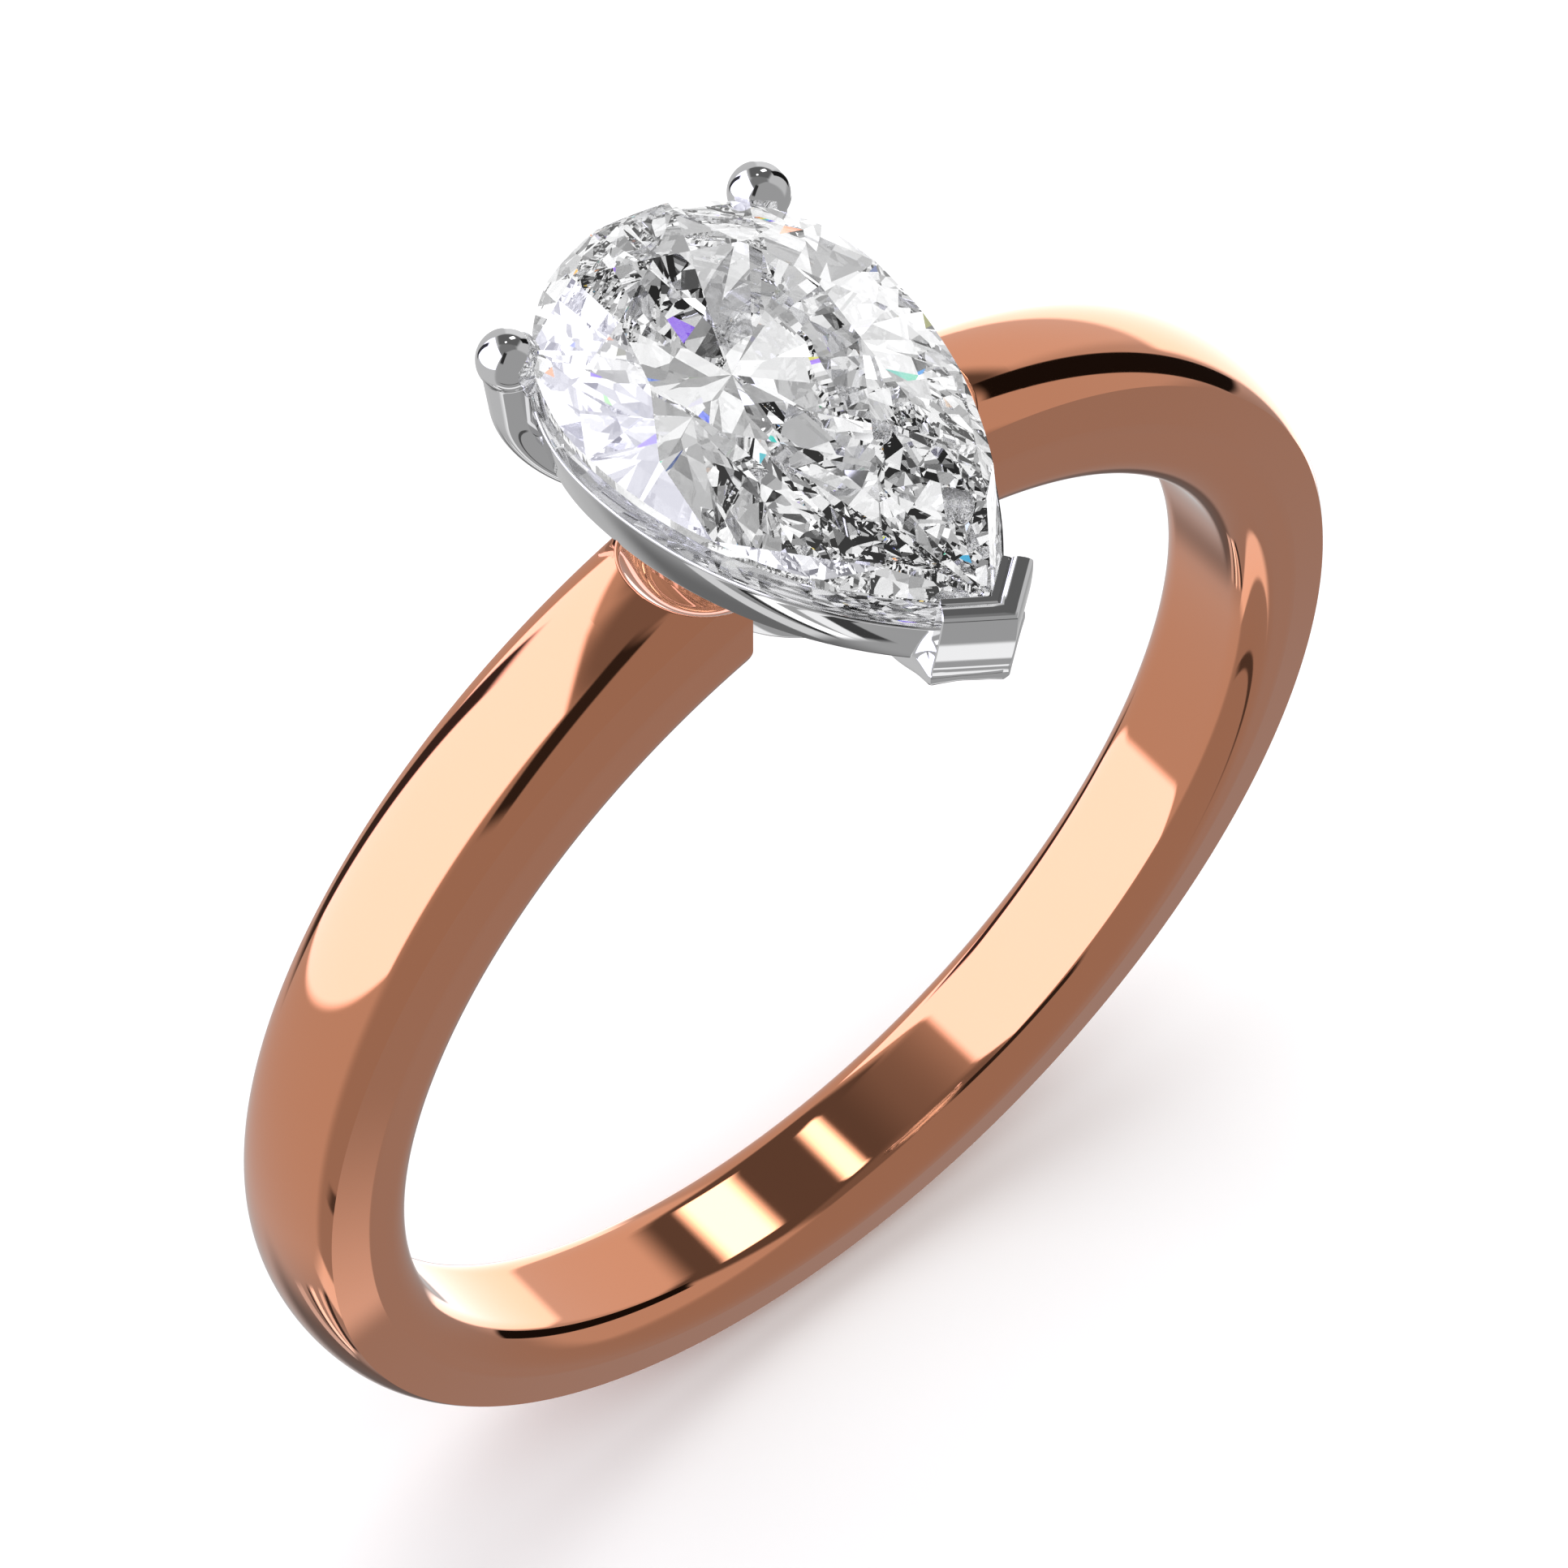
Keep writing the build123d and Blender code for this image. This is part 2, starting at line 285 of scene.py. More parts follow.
def make_shank():
    half = shank_section()
    section = half + [(-y, *rest) for y, *rest in reversed(half[1:-1])]
    ends = [gap_angle(point) for point in section]
    fine_angle, fine_rows, coarse_rows = math.asin(SEAT_REACH_X / OUTER_RADIUS), 170, 160
    rings = []
    for row in range(fine_rows + coarse_rows):
        ring = []
        for point, end in zip(section, ends):
            if row < fine_rows:
                turn = end + (fine_angle - end) * row / fine_rows
            else:
                turn = fine_angle + (math.pi - fine_angle) * (row - fine_rows) / coarse_rows
            angle = math.pi / 2 + turn
            reach = shank_reach(point, angle)
            x, z = reach * math.cos(angle), reach * math.sin(angle)
            if z > 0 and abs(x) < SEAT_REACH_X:
                z = soft_min(z, seat_height(x, point[0]), SEAT_EDGE_SOFTNESS)
            ring.append((x, point[0], z))
        rings.append(ring)
    bottom = [(0, point[0], -shank_reach(point, -math.pi / 2)) for point in section]
    mirrored = [[(-x, y, z) for x, y, z in ring] for ring in reversed(rings)]
    points, faces = capped_grid(rings + [bottom] + mirrored)
    return add_piece("shank_polished", points, faces, "rose_gold", "shank")


# ---------------------------------------------------------------- stone

def outline_points(grow=0.0):
    """The pear outline as (x, y) points, grown or shrunk all round, from +X round the back to the point."""
    round_steps, wing_steps = 120, 90
    half_width = PEAR_HALF_WIDTH + grow
    round_length = PEAR_ROUND_LENGTH + grow
    tip_length = PEAR_TIP_LENGTH + grow / math.sin(V_HALF_ANGLE)
    wing = (half_width**2 + tip_length**2) / (2 * half_width)
    sweep = math.asin(tip_length / wing)
    points = []
    for step in range(round_steps):
        angle = math.pi * step / round_steps
        points.append((half_width * math.cos(angle), PEAR_CENTRE_Y + round_length * math.sin(angle)))
    left = []
    for step in range(wing_steps + 1):
        angle = sweep * step / wing_steps
        left.append((wing - half_width - wing * math.cos(angle), PEAR_CENTRE_Y - wing * math.sin(angle)))
    points += left
    points += [(-x, y) for x, y in reversed(left[1:-1])]
    return points


def outline_point(bearing, level):
    """Where a bearing from the pear's centre meets the outline, and which way the outline runs there."""
    dx, dy = math.cos(bearing), math.sin(bearing)
    if dy >= 0:
        reach = 1 / math.hypot(dx / PEAR_HALF_WIDTH, dy / PEAR_ROUND_LENGTH)
        x, y = reach * dx, reach * dy
        run = Vector((-y / PEAR_ROUND_LENGTH**2, x / PEAR_HALF_WIDTH**2, 0))
    elif abs(dx) < 1e-6:
        x, y, run = 0, -PEAR_TIP_LENGTH, Vector((1, 0, 0))
    else:
        centre_x = PEAR_HALF_WIDTH - WING_RADIUS
        along = abs(dx) * centre_x
        reach = along + math.sqrt(along**2 - centre_x**2 + WING_RADIUS**2)
        x, y = reach * dx, reach * dy
        side = math.copysign(1, dx)
        run = Vector((-y, x - side * centre_x, 0))
    return Vector((x, y + PEAR_CENTRE_Y, level)), run.normalized()


def facet(a, b, c):
    """A plane (point, normal) through three points, facing away from the middle of the stone."""
    normal = (b - a).cross(c - a).normalized()
    if normal.dot(a - STONE_MIDDLE) < 0:
        normal = -normal
    return a, normal


def ridge_point(facet_a, facet_b, level):
    """The point at one height on the ridge where two facets meet."""
    upright = Vector((0, 0, 1))
    (point_a, a), (point_b, b) = facet_a, facet_b
    total = b.cross(upright) * a.dot(point_a) + upright.cross(a) * b.dot(point_b) + a.cross(b) * level
    return total / a.dot(b.cross(upright))


def diamond_facets():
    """Every crown and pavilion facet: bezels, stars and halves above, mains and halves below."""
    step = 2 * math.pi / MAINS
    star_z = TABLE_Z + (GIRDLE_TOP_Z - TABLE_Z) * STAR_REACH
    lower_half_z = GIRDLE_BOTTOM_Z + (CULET.z - GIRDLE_BOTTOM_Z) * LOWER_HALF_REACH
    table_middle = Vector((CULET.x, CULET.y, TABLE_Z))
    bezels, pavilion, corners, halves = [], [], [], []
    for main in range(MAINS):
        bearing = main * step - math.pi / 2
        upper, run = outline_point(bearing, GIRDLE_TOP_Z)
        lower, _ = outline_point(bearing, GIRDLE_BOTTOM_Z)
        above = Vector((upper.x, upper.y, TABLE_Z))
        corner = table_middle + (above - table_middle) * TABLE_SCALE
        corners.append(corner)
        bezels.append(facet(upper, upper + run, corner))
        pavilion.append(facet(lower, lower + run, CULET))
    for main in range(MAINS):
        after = (main + 1) % MAINS
        star_tip = ridge_point(bezels[main], bezels[after], star_z)
        lower_tip = ridge_point(pavilion[main], pavilion[after], lower_half_z)
        halves.append(facet(corners[main], corners[after], star_tip))
        middle_bearing = (main + 0.5) * step - math.pi / 2
        for neighbour in (main, after):
            bearing = neighbour * step - math.pi / 2
            for tip, level in ((star_tip, GIRDLE_TOP_Z), (lower_tip, GIRDLE_BOTTOM_Z)):
                at_main, _ = outline_point(bearing, level)
                at_middle, _ = outline_point(middle_bearing, level)
                halves.append(facet(at_main, at_middle, tip))
    return bezels + pavilion + halves


def make_diamond():
    outline = outline_points()
    block = bmesh.new()
    rings = []
    for level in (CULET.z, TABLE_Z):
        rings.append([block.verts.new((x, y, level)) for x, y in outline])
    block.faces.new(list(reversed(rings[0])))
    block.faces.new(rings[1])
    for index in range(len(outline)):
        after = (index + 1) % len(outline)
        block.faces.new((rings[0][index], rings[0][after], rings[1][after], rings[1][index]))
    for point, normal in diamond_facets():
        geometry = block.verts[:] + block.edges[:] + block.faces[:]
        cut = bmesh.ops.bisect_plane(
            block, geom=geometry, dist=1e-6, plane_co=point, plane_no=normal, clear_outer=True
        )
        edges = [item for item in cut["geom_cut"] if isinstance(item, bmesh.types.BMEdge)]
        if edges:
            bmesh.ops.holes_fill(block, edges=edges)
    bmesh.ops.recalc_face_normals(block, faces=block.faces)
    mesh = bpy.data.meshes.new("diamond_facets")
    block.to_mesh(mesh)
    block.free()
    points = [vertex.co.copy() for vertex in mesh.vertices]
    faces = [tuple(polygon.vertices) for polygon in mesh.polygons]
    bpy.data.meshes.remove(mesh)
    return add_piece("diamond_cut", points, faces, "diamond", "pear_diamond", smooth_angle=0.01)


# ---------------------------------------------------------------- head

def make_collar():
    """A short tube with rounded edges, hollowed under the stone's lowest point."""
    profile = []
    middles = [
        (COLLAR_RADIUS - COLLAR_ROUND, COLLAR_BOTTOM_Z + COLLAR_ROUND, -90),
        (COLLAR_RADIUS - COLLAR_ROUND, COLLAR_TOP_Z - COLLAR_ROUND, 0),
        (COLLAR_BORE + COLLAR_ROUND, COLLAR_TOP_Z - COLLAR_ROUND, 90),
        (COLLAR_BORE + COLLAR_ROUND, COLLAR_BOTTOM_Z + COLLAR_ROUND, 180),
    ]
    for radius, level, start in middles:
        for step in range(7):
            profile.append(arc_point((radius, level), COLLAR_ROUND, math.radians(start + 15 * step)))
    rings = 180
    points = []
    for ring in range(rings):
        angle = 2 * math.pi * ring / rings
        for radius, level in profile:
            x, y = radius * math.cos(angle), radius * math.sin(angle)
            pavilion = CULET.z + 0.68 * math.hypot(x, y - CULET.y) - 0.03
            points.append((x, y, max(min(level, pavilion), COLLAR_BOTTOM_Z)))
    faces = grid_faces(rings, len(profile), wrap_rows=True)
    return add_piece("collar_polished", points, faces, "white_gold", "collar")


def make_rail():
    """The pear-shaped band: a leaning wall with a narrow bright edge, and a ledge under the girdle."""
    loops = [[(x, y, level) for x, y in outline_points(grow)] for grow, level in RAIL_SECTION]
    columns = len(loops[0])
    points = [point for loop in loops for point in loop]
    faces = grid_faces(len(loops), columns, wrap_rows=True)
    return add_piece("rail_polished", points, faces, "white_gold", "gallery_rail")


def fillet_path(start, corner, end, radius, steps=40):
    """Points along two lines in a plane, with an arc between them."""
    start, corner, end = Vector(start), Vector(corner), Vector(end)
    back, on = (start - corner).normalized(), (end - corner).normalized()
    half_angle = back.angle(on) / 2
    setback = radius / math.tan(half_angle)
    centre = corner + (back + on).normalized() * (radius / math.sin(half_angle))
    first, last = corner + back * setback, corner + on * setback
    points = [start + (first - start) * step / steps for step in range(steps)]
    from_angle = math.atan2(first.y - centre.y, first.x - centre.x)
    turn = (last - centre).angle_signed(first - centre)
    for step in range(steps + 1):
        angle = from_angle + turn * step / steps
        points.append(Vector(arc_point(centre, radius, angle)))
    points += [last + (end - last) * step / steps for step in range(1, steps + 1)]
    return points


def make_claw(side):
    """A claw: a ball on a wire that thins as it curves down and in to the collar."""
    outward = Vector((side * CLAW_X, CLAW_Y, 0))
    top = (outward.length, CLAW_BALL_Z)
    outward.normalize()
    across = outward.cross(Vector((0, 0, 1)))
    path = fillet_path(top, CLAW_BEND, CLAW_FOOT, CLAW_BEND_RADIUS)
    length = 0.0
    stations = []
    cap_steps, smallest = 25, 0.004
    for step in range(cap_steps):
        angle = math.pi / 2 * step / cap_steps
        middle = Vector((top[0], top[1] + CLAW_BALL_RADIUS * math.cos(angle)))
        stations.append((middle, Vector((0, -1)), max(CLAW_BALL_RADIUS * math.sin(angle), smallest)))
    for index, point in enumerate(path):
        before, after = path[max(index - 1, 0)], path[min(index + 1, len(path) - 1)]
        heading = (after - before).normalized()
        if index:
            length += (point - path[index - 1]).length
        wire = CLAW_WIRE_RADIUS - CLAW_WIRE_TAPER * length
        ball = math.sqrt(max(CLAW_BALL_RADIUS**2 - length**2, 0))
        stations.append((point, heading, max(wire, ball)))
    rings = []
    for point, heading, radius in stations:
        normal = Vector((heading.y, -heading.x))
        ring = []
        for step in range(64):
            angle = 2 * math.pi * step / 64
            reach = point + normal * (radius * math.cos(angle))
            place = outward * reach.x + Vector((0, 0, reach.y)) + across * (radius * math.sin(angle))
            ring.append(tuple(place))
        rings.append(ring)
    name = "left" if side < 0 else "right"
    points, faces = capped_grid(rings)
    return add_piece(
        f"claw_{name}_polished", points, faces, "white_gold", f"claw_prong_{name}", smooth_angle=40
    )


def v_section():
    """The V prong's section across an arm: (distance in from the outer face, height)."""
    section = [(0.36, V_BOTTOM_Z)]
    round_middle = (V_BOTTOM_ROUND + 0.03, V_BOTTOM_Z + V_BOTTOM_ROUND)
    for step in range(9):
        section.append(arc_point(round_middle, V_BOTTOM_ROUND, math.radians(-90 - 10 * step)))
    for step in range(13):
        height = V_BOTTOM_Z + 0.31 + 1.26 * step / 12
        section.append((V_BULGE * abs((height - V_PROUD_Z) / 1.1) ** 2.2, height))
    section += [(depth, V_TOP_Z - drop) for depth, drop in V_STEP]
    section += [(V_WALL, 10.6), (V_WALL, V_BOTTOM_Z + 0.05), (V_WALL - 0.03, V_BOTTOM_Z)]
    return section


def chevron_ring(share):
    """The V prong's section at a share of the way along an arm, from -1 to 1, mitred at the corner."""
    sin_half, cos_half = math.sin(V_HALF_ANGLE), math.cos(V_HALF_ANGLE)
    middle_z = (V_TOP_Z + V_BOTTOM_Z) / 2
    at_end = abs(share) == 1
    ring = []
    for depth, level in v_section():
        low = (V_TOP_Z - level) / (V_TOP_Z - V_BOTTOM_Z)
        corner_y = V_CORNER_TOP_Y + (V_CORNER_BOTTOM_Y - V_CORNER_TOP_Y) * low
        arm = V_ARM_TOP + (V_ARM_BOTTOM - V_ARM_TOP) * low
        if at_end:              # a small bevel
            depth = V_WALL / 2 + (depth - V_WALL / 2) * 0.92
            level = middle_z + (level - middle_z) * 0.975
        along = arm * abs(share) + depth / math.tan(V_HALF_ANGLE) * (1 - abs(share))
        side = math.copysign(1, share) if share else 0
        ring.append((
            side * (along * sin_half - depth * cos_half),
            corner_y + along * cos_half + depth * sin_half,
            level,
        ))
    return ring


def leg_ring(y):
    """The leg's section at one place along the finger: a rounded box inside the chevron."""
    wedge = (y - V_CORNER_BOTTOM_Y) * math.tan(V_HALF_ANGLE) - 0.02
    narrowed, _ = ease(y, LEG_WIDE_Y, LEG_WIDE_Y + 1.9)
    taper = LEG_WIDE_HALF_WIDTH + (LEG_FOOT_HALF_WIDTH - LEG_WIDE_HALF_WIDTH) * narrowed
    half_width = min(wedge, taper)
    fallen, eased_fall = ease(y, LEG_HEEL_Y, LEG_KNEE_Y)
    _, eased_over = ease(y, LEG_OVER_TOP_Y, LEG_OVER_KNEE_Y)
    under = V_BOTTOM_Z + 0.01 - (V_BOTTOM_Z - LEG_UNDER_Z) * (0.55 * fallen + 0.45 * eased_fall)
    over = LEG_OVER_TOP_Z - (LEG_OVER_TOP_Z - LEG_OVER_Z) * eased_over
    middle, half_height = (over + under) / 2, (over - under) / 2
    ring = []
    for turn in range(48):
        angle = 2 * math.pi * turn / 48
        across, upward = math.cos(angle), math.sin(angle)
        swell = (abs(across) ** 5 + abs(upward) ** 5) ** (-1 / 5)
        ring.append((half_width * swell * across, y, middle + half_height * swell * upward))
    return ring


def make_v_prong():
    """The chevron over the stone's point, and the leg that sweeps under the stone to the collar."""
    arm = [0.2, 0.5, 0.8, 0.98, 1]
    shares = [-share for share in reversed(arm)] + [0] + arm
    points, faces = capped_grid([chevron_ring(share) for share in shares])
    leg_steps = 60
    leg_rings = [leg_ring(LEG_BACK_Y + LEG_LENGTH * step / leg_steps) for step in range(leg_steps + 1)]
    leg_points, leg_faces = capped_grid(leg_rings)
    shift = len(points)
    faces += [tuple(index + shift for index in face) for face in leg_faces]
    return add_piece("v_prong_polished", points + leg_points, faces, "white_gold", "v_prong")


# ---------------------------------------------------------------- materials

def new_material(name):
    material = bpy.data.materials.new(name)
    material.use_nodes = True
    nodes, links = material.node_tree.nodes, material.node_tree.links
    return material, nodes, links, nodes["Principled BSDF"]


def polished_metal(name, light, deep, roughness_low, roughness_high, coat):
    """A mirror-polished alloy: a faint drift of colour, and polishing haze in its roughness."""
    material, nodes, links, shader = new_material(name)
    place = nodes.new("ShaderNodeTexCoord")
    drift = nodes.new("ShaderNodeTexNoise")
    drift.inputs["Scale"].default_value = 180
    drift.inputs["Detail"].default_value = 2
    tint = nodes.new("ShaderNodeMix")
    tint.data_type = "RGBA"
    tint.inputs["A"].default_value = (*light, 1)
    tint.inputs["B"].default_value = (*deep, 1)
    haze = nodes.new("ShaderNodeTexNoise")
    haze.inputs["Scale"].default_value = 900
    haze.inputs["Detail"].default_value = 4
    polish = nodes.new("ShaderNodeMapRange")
    polish.inputs["From Min"].default_value = 0.3
    polish.inputs["From Max"].default_value = 0.7
    polish.inputs["To Min"].default_value = roughness_low
    polish.inputs["To Max"].default_value = roughness_high
    links.new(place.outputs["Object"], drift.inputs["Vector"])
    links.new(place.outputs["Object"], haze.inputs["Vector"])
    links.new(drift.outputs["Fac"], tint.inputs["Factor"])
    links.new(tint.outputs["Result"], shader.inputs["Base Color"])
    links.new(haze.outputs["Fac"], polish.inputs["Value"])
    links.new(polish.outputs["Result"], shader.inputs["Roughness"])
    shader.inputs["Metallic"].default_value = 1
    shader.inputs["Coat Weight"].default_value = coat
    shader.inputs["Coat Roughness"].default_value = 0.02
    return material


def diamond_glass():
    """Clear, colourless diamond, with the faintest cool drift in its clarity."""
    material, nodes, links, shader = new_material("diamond_clear")
    place = nodes.new("ShaderNodeTexCoord")
    drift = nodes.new("ShaderNodeTexNoise")
    drift.inputs["Scale"].default_value = 400
    tint = nodes.new("ShaderNodeMix")
    tint.data_type = "RGBA"
    tint.inputs["A"].default_value = (1.0, 1.0, 1.0, 1)
    tint.inputs["B"].default_value = (0.985, 0.99, 1.0, 1)
    links.new(place.outputs["Object"], drift.inputs["Vector"])
    links.new(drift.outputs["Fac"], tint.inputs["Factor"])
    links.new(tint.outputs["Result"], shader.inputs["Base Color"])
    shader.inputs["Roughness"].default_value = 0
    shader.inputs["IOR"].default_value = 2.417
    shader.inputs["Transmission Weight"].default_value = 1
    return material


# ---------------------------------------------------------------- studio

def make_camera():
    """The camera looks along a line that passes just beside the middle of the finger hole."""
    right = Vector((math.cos(CAMERA_AZIMUTH), math.sin(CAMERA_AZIMUTH), 0))
    back = Vector((
        math.sin(CAMERA_AZIMUTH) * math.cos(CAMERA_ELEVATION),
        -math.cos(CAMERA_AZIMUTH) * math.cos(CAMERA_ELEVATION),
        math.sin(CAMERA_ELEVATION),
    ))
    up = back.cross(right)
    data = bpy.data.cameras.new("camera")
    data.lens = CAMERA_LENS
    data.sensor_width = 36
    data.clip_start = 0.01
    data.clip_end = 5
    camera = bpy.data.objects.new("camera", data)
    turn = Matrix((right, up, back)).transposed().to_4x4()
    place = right * CAMERA_AIM_RIGHT + up * CAMERA_AIM_UP + back * CAMERA_DISTANCE
    camera.matrix_world = Matrix.Translation(place * MM) @ turn
    bpy.context.scene.collection.objects.link(camera)
    bpy.context.scene.camera = camera


def bearing_vector(bearing, elevation):
    """A direction from its bearing, measured from +Y towards +X, and its height over the horizon."""
    bearing, elevation = math.radians(bearing), math.radians(elevation)
    level = math.cos(elevation)
    return Vector((math.sin(bearing) * level, math.cos(bearing) * level, math.sin(elevation)))


class Studio:
    """The studio round the ring, as a world of soft panels seen in the metal and the stone."""

    def __init__(self, world):
        world.use_nodes = True
        self.tree = world.node_tree
        self.tree.nodes.clear()
        self.direction = self.tree.nodes.new("ShaderNodeTexCoord").outputs["Generated"]
        self.brightness = None
        self.colour = None

    def math(self, operation, *values):
        node = self.tree.nodes.new("ShaderNodeMath")
        node.operation = operation
        for socket, value in zip(node.inputs, values):
            if isinstance(value, (int, float)):
                socket.default_value = value
            else:
                self.tree.links.new(value, socket)
        return node.outputs[0]

    def dot(self, axis):
        node = self.tree.nodes.new("ShaderNodeVectorMath")
        node.operation = "DOT_PRODUCT"
        node.inputs[1].default_value = axis
        self.tree.links.new(self.direction, node.inputs[0])
        return node.outputs["Value"]

    def fade(self, value, low, high, start, end):
        """A smooth change from start to end as the value goes from low to high."""
        node = self.tree.nodes.new("ShaderNodeMapRange")
        node.interpolation_type = "SMOOTHSTEP"
        self.tree.links.new(value, node.inputs["Value"])
        for name, number in zip(("From Min", "From Max", "To Min", "To Max"), (low, high, start, end)):
            node.inputs[name].default_value = number
        return node.outputs["Result"]

    def mix(self, share, other):
        """Goes from the brightness so far to another one, by a share."""
        node = self.tree.nodes.new("ShaderNodeMix")
        self.tree.links.new(share, node.inputs[0])
        self.tree.links.new(self.brightness, node.inputs[2])
        if isinstance(other, (int, float)):
            node.inputs[3].default_value = other
        else:
            self.tree.links.new(other, node.inputs[3])
        self.brightness = node.outputs[0]

    def panel_share(self, bearing, elevation, width, height, edge=0.06, turn=0.0):
        """How much of a direction falls on a flat panel that faces the ring, and how far across it.

        The width and height are in degrees, and edge is the soft part of each half.
        """
        middle = bearing_vector(bearing, elevation)
        across = Vector((0, 0, 1)).cross(middle).normalized()
        upward = middle.cross(across)
        turned = Matrix.Rotation(math.radians(turn), 3, middle)
        across, upward = turned @ across, turned @ upward
        ahead = self.dot(middle)
        share = self.math("GREATER_THAN", ahead, 0.001)
        for axis, size in ((across, width), (upward, height)):
            half = math.tan(math.radians(size / 2))
            offset = self.math("ABSOLUTE", self.math("DIVIDE", self.dot(axis), ahead))
            inside = self.fade(offset, half * (1 - edge), half * (1 + edge), 1, 0)
            share = self.math("MULTIPLY", share, inside)
        return share, self.math("DIVIDE", self.dot(across), ahead)

    def panel(self, bearing, elevation, width, height, brightness, edge=0.06, turn=0.0):
        """A panel of one brightness, over whatever is behind it."""
        share, _ = self.panel_share(bearing, elevation, width, height, edge, turn)
        self.mix(share, brightness)

    def patchwork(self, scale, low, high):
        """Cards of many brightnesses all round, from low to high."""
        cells = self.tree.nodes.new("ShaderNodeTexVoronoi")
        cells.inputs["Scale"].default_value = scale
        self.tree.links.new(self.direction, cells.inputs["Vector"])
        parts = self.tree.nodes.new("ShaderNodeSeparateColor")
        self.tree.links.new(cells.outputs["Color"], parts.inputs["Color"])
        return self.fade(parts.outputs["Red"], 0.0, 1.0, low, high)

    def tint(self, share, hue):
        """Colours a share of what is seen."""
        node = self.tree.nodes.new("ShaderNodeMix")
        node.data_type = "RGBA"
        self.tree.links.new(share, node.inputs["Factor"])
        if self.colour is None:
            node.inputs["A"].default_value = (1, 1, 1, 1)
        else:
            self.tree.links.new(self.colour, node.inputs["A"])
        if isinstance(hue, tuple):
            node.inputs["B"].default_value = (*hue, 1)
        else:
            self.tree.links.new(hue, node.inputs["B"])
        self.colour = node.outputs["Result"]

    def spectrum(self, bearing, elevation, width, height):
        """A small panel that runs through the rainbow, for the fire in the stone."""
        share, offset = self.panel_share(bearing, elevation, width, height, edge=0.1)
        ramp = self.tree.nodes.new("ShaderNodeValToRGB")
        half = math.tan(math.radians(width / 2))
        position = self.fade(offset, -half, half, 0, 1)
        self.tree.links.new(position, ramp.inputs["Fac"])
        hues = [(0.35, 0.1, 1.0), (0.1, 0.5, 1.0), (0.1, 1.0, 0.5), (1.0, 0.9, 0.1), (1.0, 0.25, 0.05)]
        elements = ramp.color_ramp.elements
        while len(elements) < len(hues):
            elements.new(0.5)
        for index, hue in enumerate(hues):
            elements[index].position = index / (len(hues) - 1)
            elements[index].color = (*hue, 1)
        self.tint(share, ramp.outputs["Color"])

    def finish(self, metal, metal_colour, backdrop, fill):
        """The stone sees its own panels, the metal sees its own, and the camera sees the backdrop."""
        path = self.tree.nodes.new("ShaderNodeLightPath")
        crystal, self.brightness = self.brightness, metal
        fire, self.colour = self.colour, metal_colour
        self.mix(path.outputs["Is Transmission Ray"], crystal)
        self.mix(path.outputs["Is Diffuse Ray"], fill)
        self.mix(path.outputs["Is Camera Ray"], backdrop)
        self.tint(path.outputs["Is Transmission Ray"], fire)
        for kind in ("Is Diffuse Ray", "Is Camera Ray"):
            self.tint(path.outputs[kind], (1.0, 1.0, 1.0))
        background = self.tree.nodes.new("ShaderNodeBackground")
        self.tree.links.new(self.colour, background.inputs["Color"])
        self.tree.links.new(self.brightness, background.inputs["Strength"])
        output = self.tree.nodes.new("ShaderNodeOutputWorld")
        self.tree.links.new(background.outputs[0], output.inputs["Surface"])


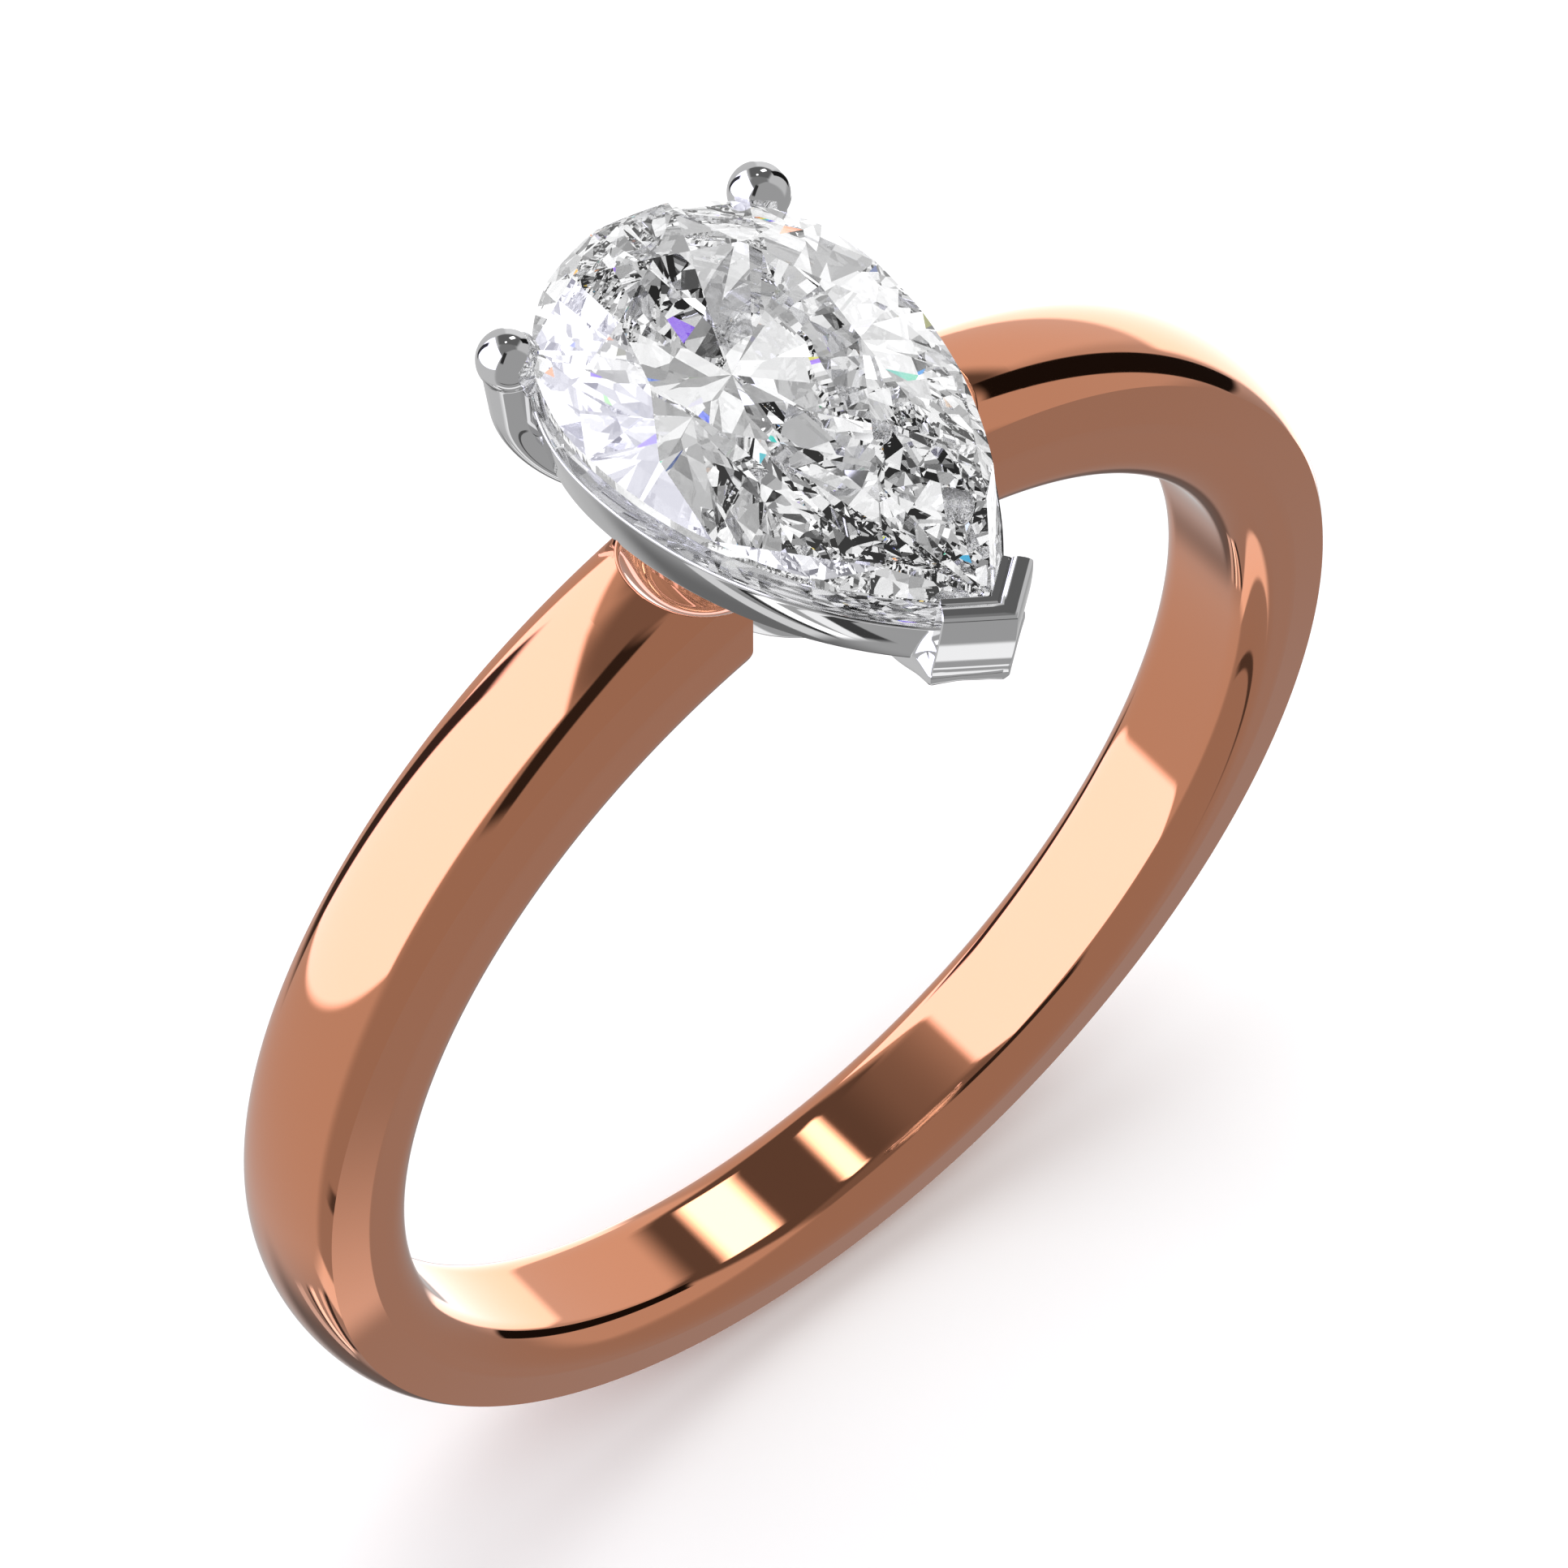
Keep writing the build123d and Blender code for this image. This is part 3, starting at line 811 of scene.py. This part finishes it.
def make_studio():
    world = bpy.data.worlds.new("studio")
    bpy.context.scene.world = world
    studio = Studio(world)
    height = studio.dot((0, 0, 1))

    # What the metal sees: a room that darkens underneath, overhead and in front
    studio.brightness = studio.fade(height, -0.99, -0.80, 0.36, 0.56)
    studio.mix(studio.fade(height, 0.80, 0.92, 0.0, 1.0), 0.20)
    studio.panel(-165, 0, 130, 160, 0.36, edge=0.25)
    studio.panel(139, -50, 90, 70, 0.36, edge=0.3)
    studio.panel(20, -78, 40, 20, 0.15, edge=0.4)
    # strips low down on the left, which stripe the rail, and two in front, which stripe the V
    for bearing, width, brightness in (
        (-50, 4, 0.7), (-71, 2.6, 1.5), (-64, 1.2, 0.03), (-86, 2.6, 1.0), (-96, 3, 0.05),
    ):
        studio.panel(bearing, -72, width, 16, brightness, edge=0.15)
    studio.panel(-148, -68, 50, 9, 1.0, edge=0.2)
    studio.panel(-148, -46, 50, 4, 0.08, edge=0.3)
    # big back-left softbox, a little cool, with its lower edge tilted
    share, _ = studio.panel_share(-48, 22, 92, 70, edge=0.05, turn=23)
    studio.mix(share, 2.0)
    studio.tint(share, (1.0, 0.99, 1.22))
    # back-right softbox, brightest low down
    studio.panel(54, 6, 38, 50, 0.75, edge=0.2)
    studio.panel(56, -30, 42, 40, 1.7, edge=0.12)
    # two lamps overhead, on a dark ceiling
    studio.panel(45, 50, 62, 46, 0.12, edge=0.2)
    studio.panel(56, 43, 9, 13, 4.0, edge=0.4, turn=-35)
    studio.panel(27, 64, 5, 5, 3.5, edge=0.5)
    # black flags
    studio.panel(87, 4, 17, 58, 0.01, edge=0.06, turn=-6)
    studio.panel(-114, 54, 12, 40, 0.03, edge=0.2)
    studio.panel(-15, -6, 12, 50, 0.04, edge=0.2)
    metal, metal_colour = studio.brightness, studio.colour

    # What the stone sees: a bright tent with dark flags and small lamps
    studio.colour = None
    studio.brightness = studio.patchwork(3.2, 0.36, 1.22)
    studio.panel(-48, 30, 50, 30, 1.35, edge=0.05, turn=23)
    studio.panel(54, 20, 30, 36, 1.3, edge=0.08)
    for bearing, elevation, width, tall, brightness in (
        (-140, 52, 26, 16, 0.08), (100, 35, 18, 30, 0.10), (-10, 25, 10, 30, 0.15), (40, 72, 10, 8, 2.2),
        (-60, 75, 8, 8, 2.2), (150, 60, 10, 8, 2.0),
    ):
        studio.panel(bearing, elevation, width, tall, brightness, edge=0.08)
    for bearing, elevation in ((-125, 38), (75, 50), (-30, 60), (150, 55), (-175, 62), (20, 30)):
        studio.spectrum(bearing, elevation, 5, 7)
    studio.finish(metal, metal_colour, BACKDROP, FLOOR_FILL)


def make_floor():
    floor_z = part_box("shank")[0].z
    bpy.ops.mesh.primitive_plane_add(size=2, location=(0, 0, floor_z))
    floor = bpy.context.object
    floor.name = "floor"
    material, _, _, shader = new_material("floor_pale")
    shader.inputs["Base Color"].default_value = (0.95, 0.95, 0.95, 1)
    shader.inputs["Roughness"].default_value = 1
    shader.inputs["Specular IOR Level"].default_value = 0
    floor.data.materials.append(material)
    floor.visible_glossy = False
    floor.visible_transmission = False


def add_lamp(name, bearing, elevation, power, size):
    """A square softbox that lights the floor and isn't itself seen in the metal."""
    data = bpy.data.lights.new(name, "AREA")
    data.energy = power
    data.size = size
    lamp = bpy.data.objects.new(name, data)
    place = bearing_vector(bearing, elevation) * LAMP_DISTANCE * MM
    turn = place.to_track_quat("Z", "Y").to_matrix().to_4x4()
    lamp.matrix_world = Matrix.Translation(place) @ turn
    lamp.visible_glossy = False
    lamp.visible_transmission = False
    bpy.context.scene.collection.objects.link(lamp)


rose_gold = polished_metal(
    "rose_gold_polished", (0.90, 0.37, 0.205), (0.88, 0.355, 0.19), 0.03, 0.05, coat=0.3
)
white_gold = polished_metal(
    "white_gold_polished", (0.86, 0.86, 0.87), (0.83, 0.83, 0.84), 0.02, 0.04, coat=0.0
)
diamond = diamond_glass()

shank = make_shank()
shank.data.materials.append(rose_gold)
# The head and the stone are lit as on their own, with no red cast from the band
shank.visible_glossy = False
shank.visible_transmission = False
make_diamond().data.materials.append(diamond)
for piece in (make_collar(), make_rail(), make_claw(-1), make_claw(1), make_v_prong()):
    piece.data.materials.append(white_gold)

make_camera()
make_studio()
make_floor()
add_lamp("top_softbox", 48, 66, 0.2, 0.17)

scene = bpy.context.scene
scene.view_settings.view_transform = "Standard"
scene.cycles.max_bounces = 24
scene.cycles.glossy_bounces = 16
scene.cycles.transmission_bounces = 16
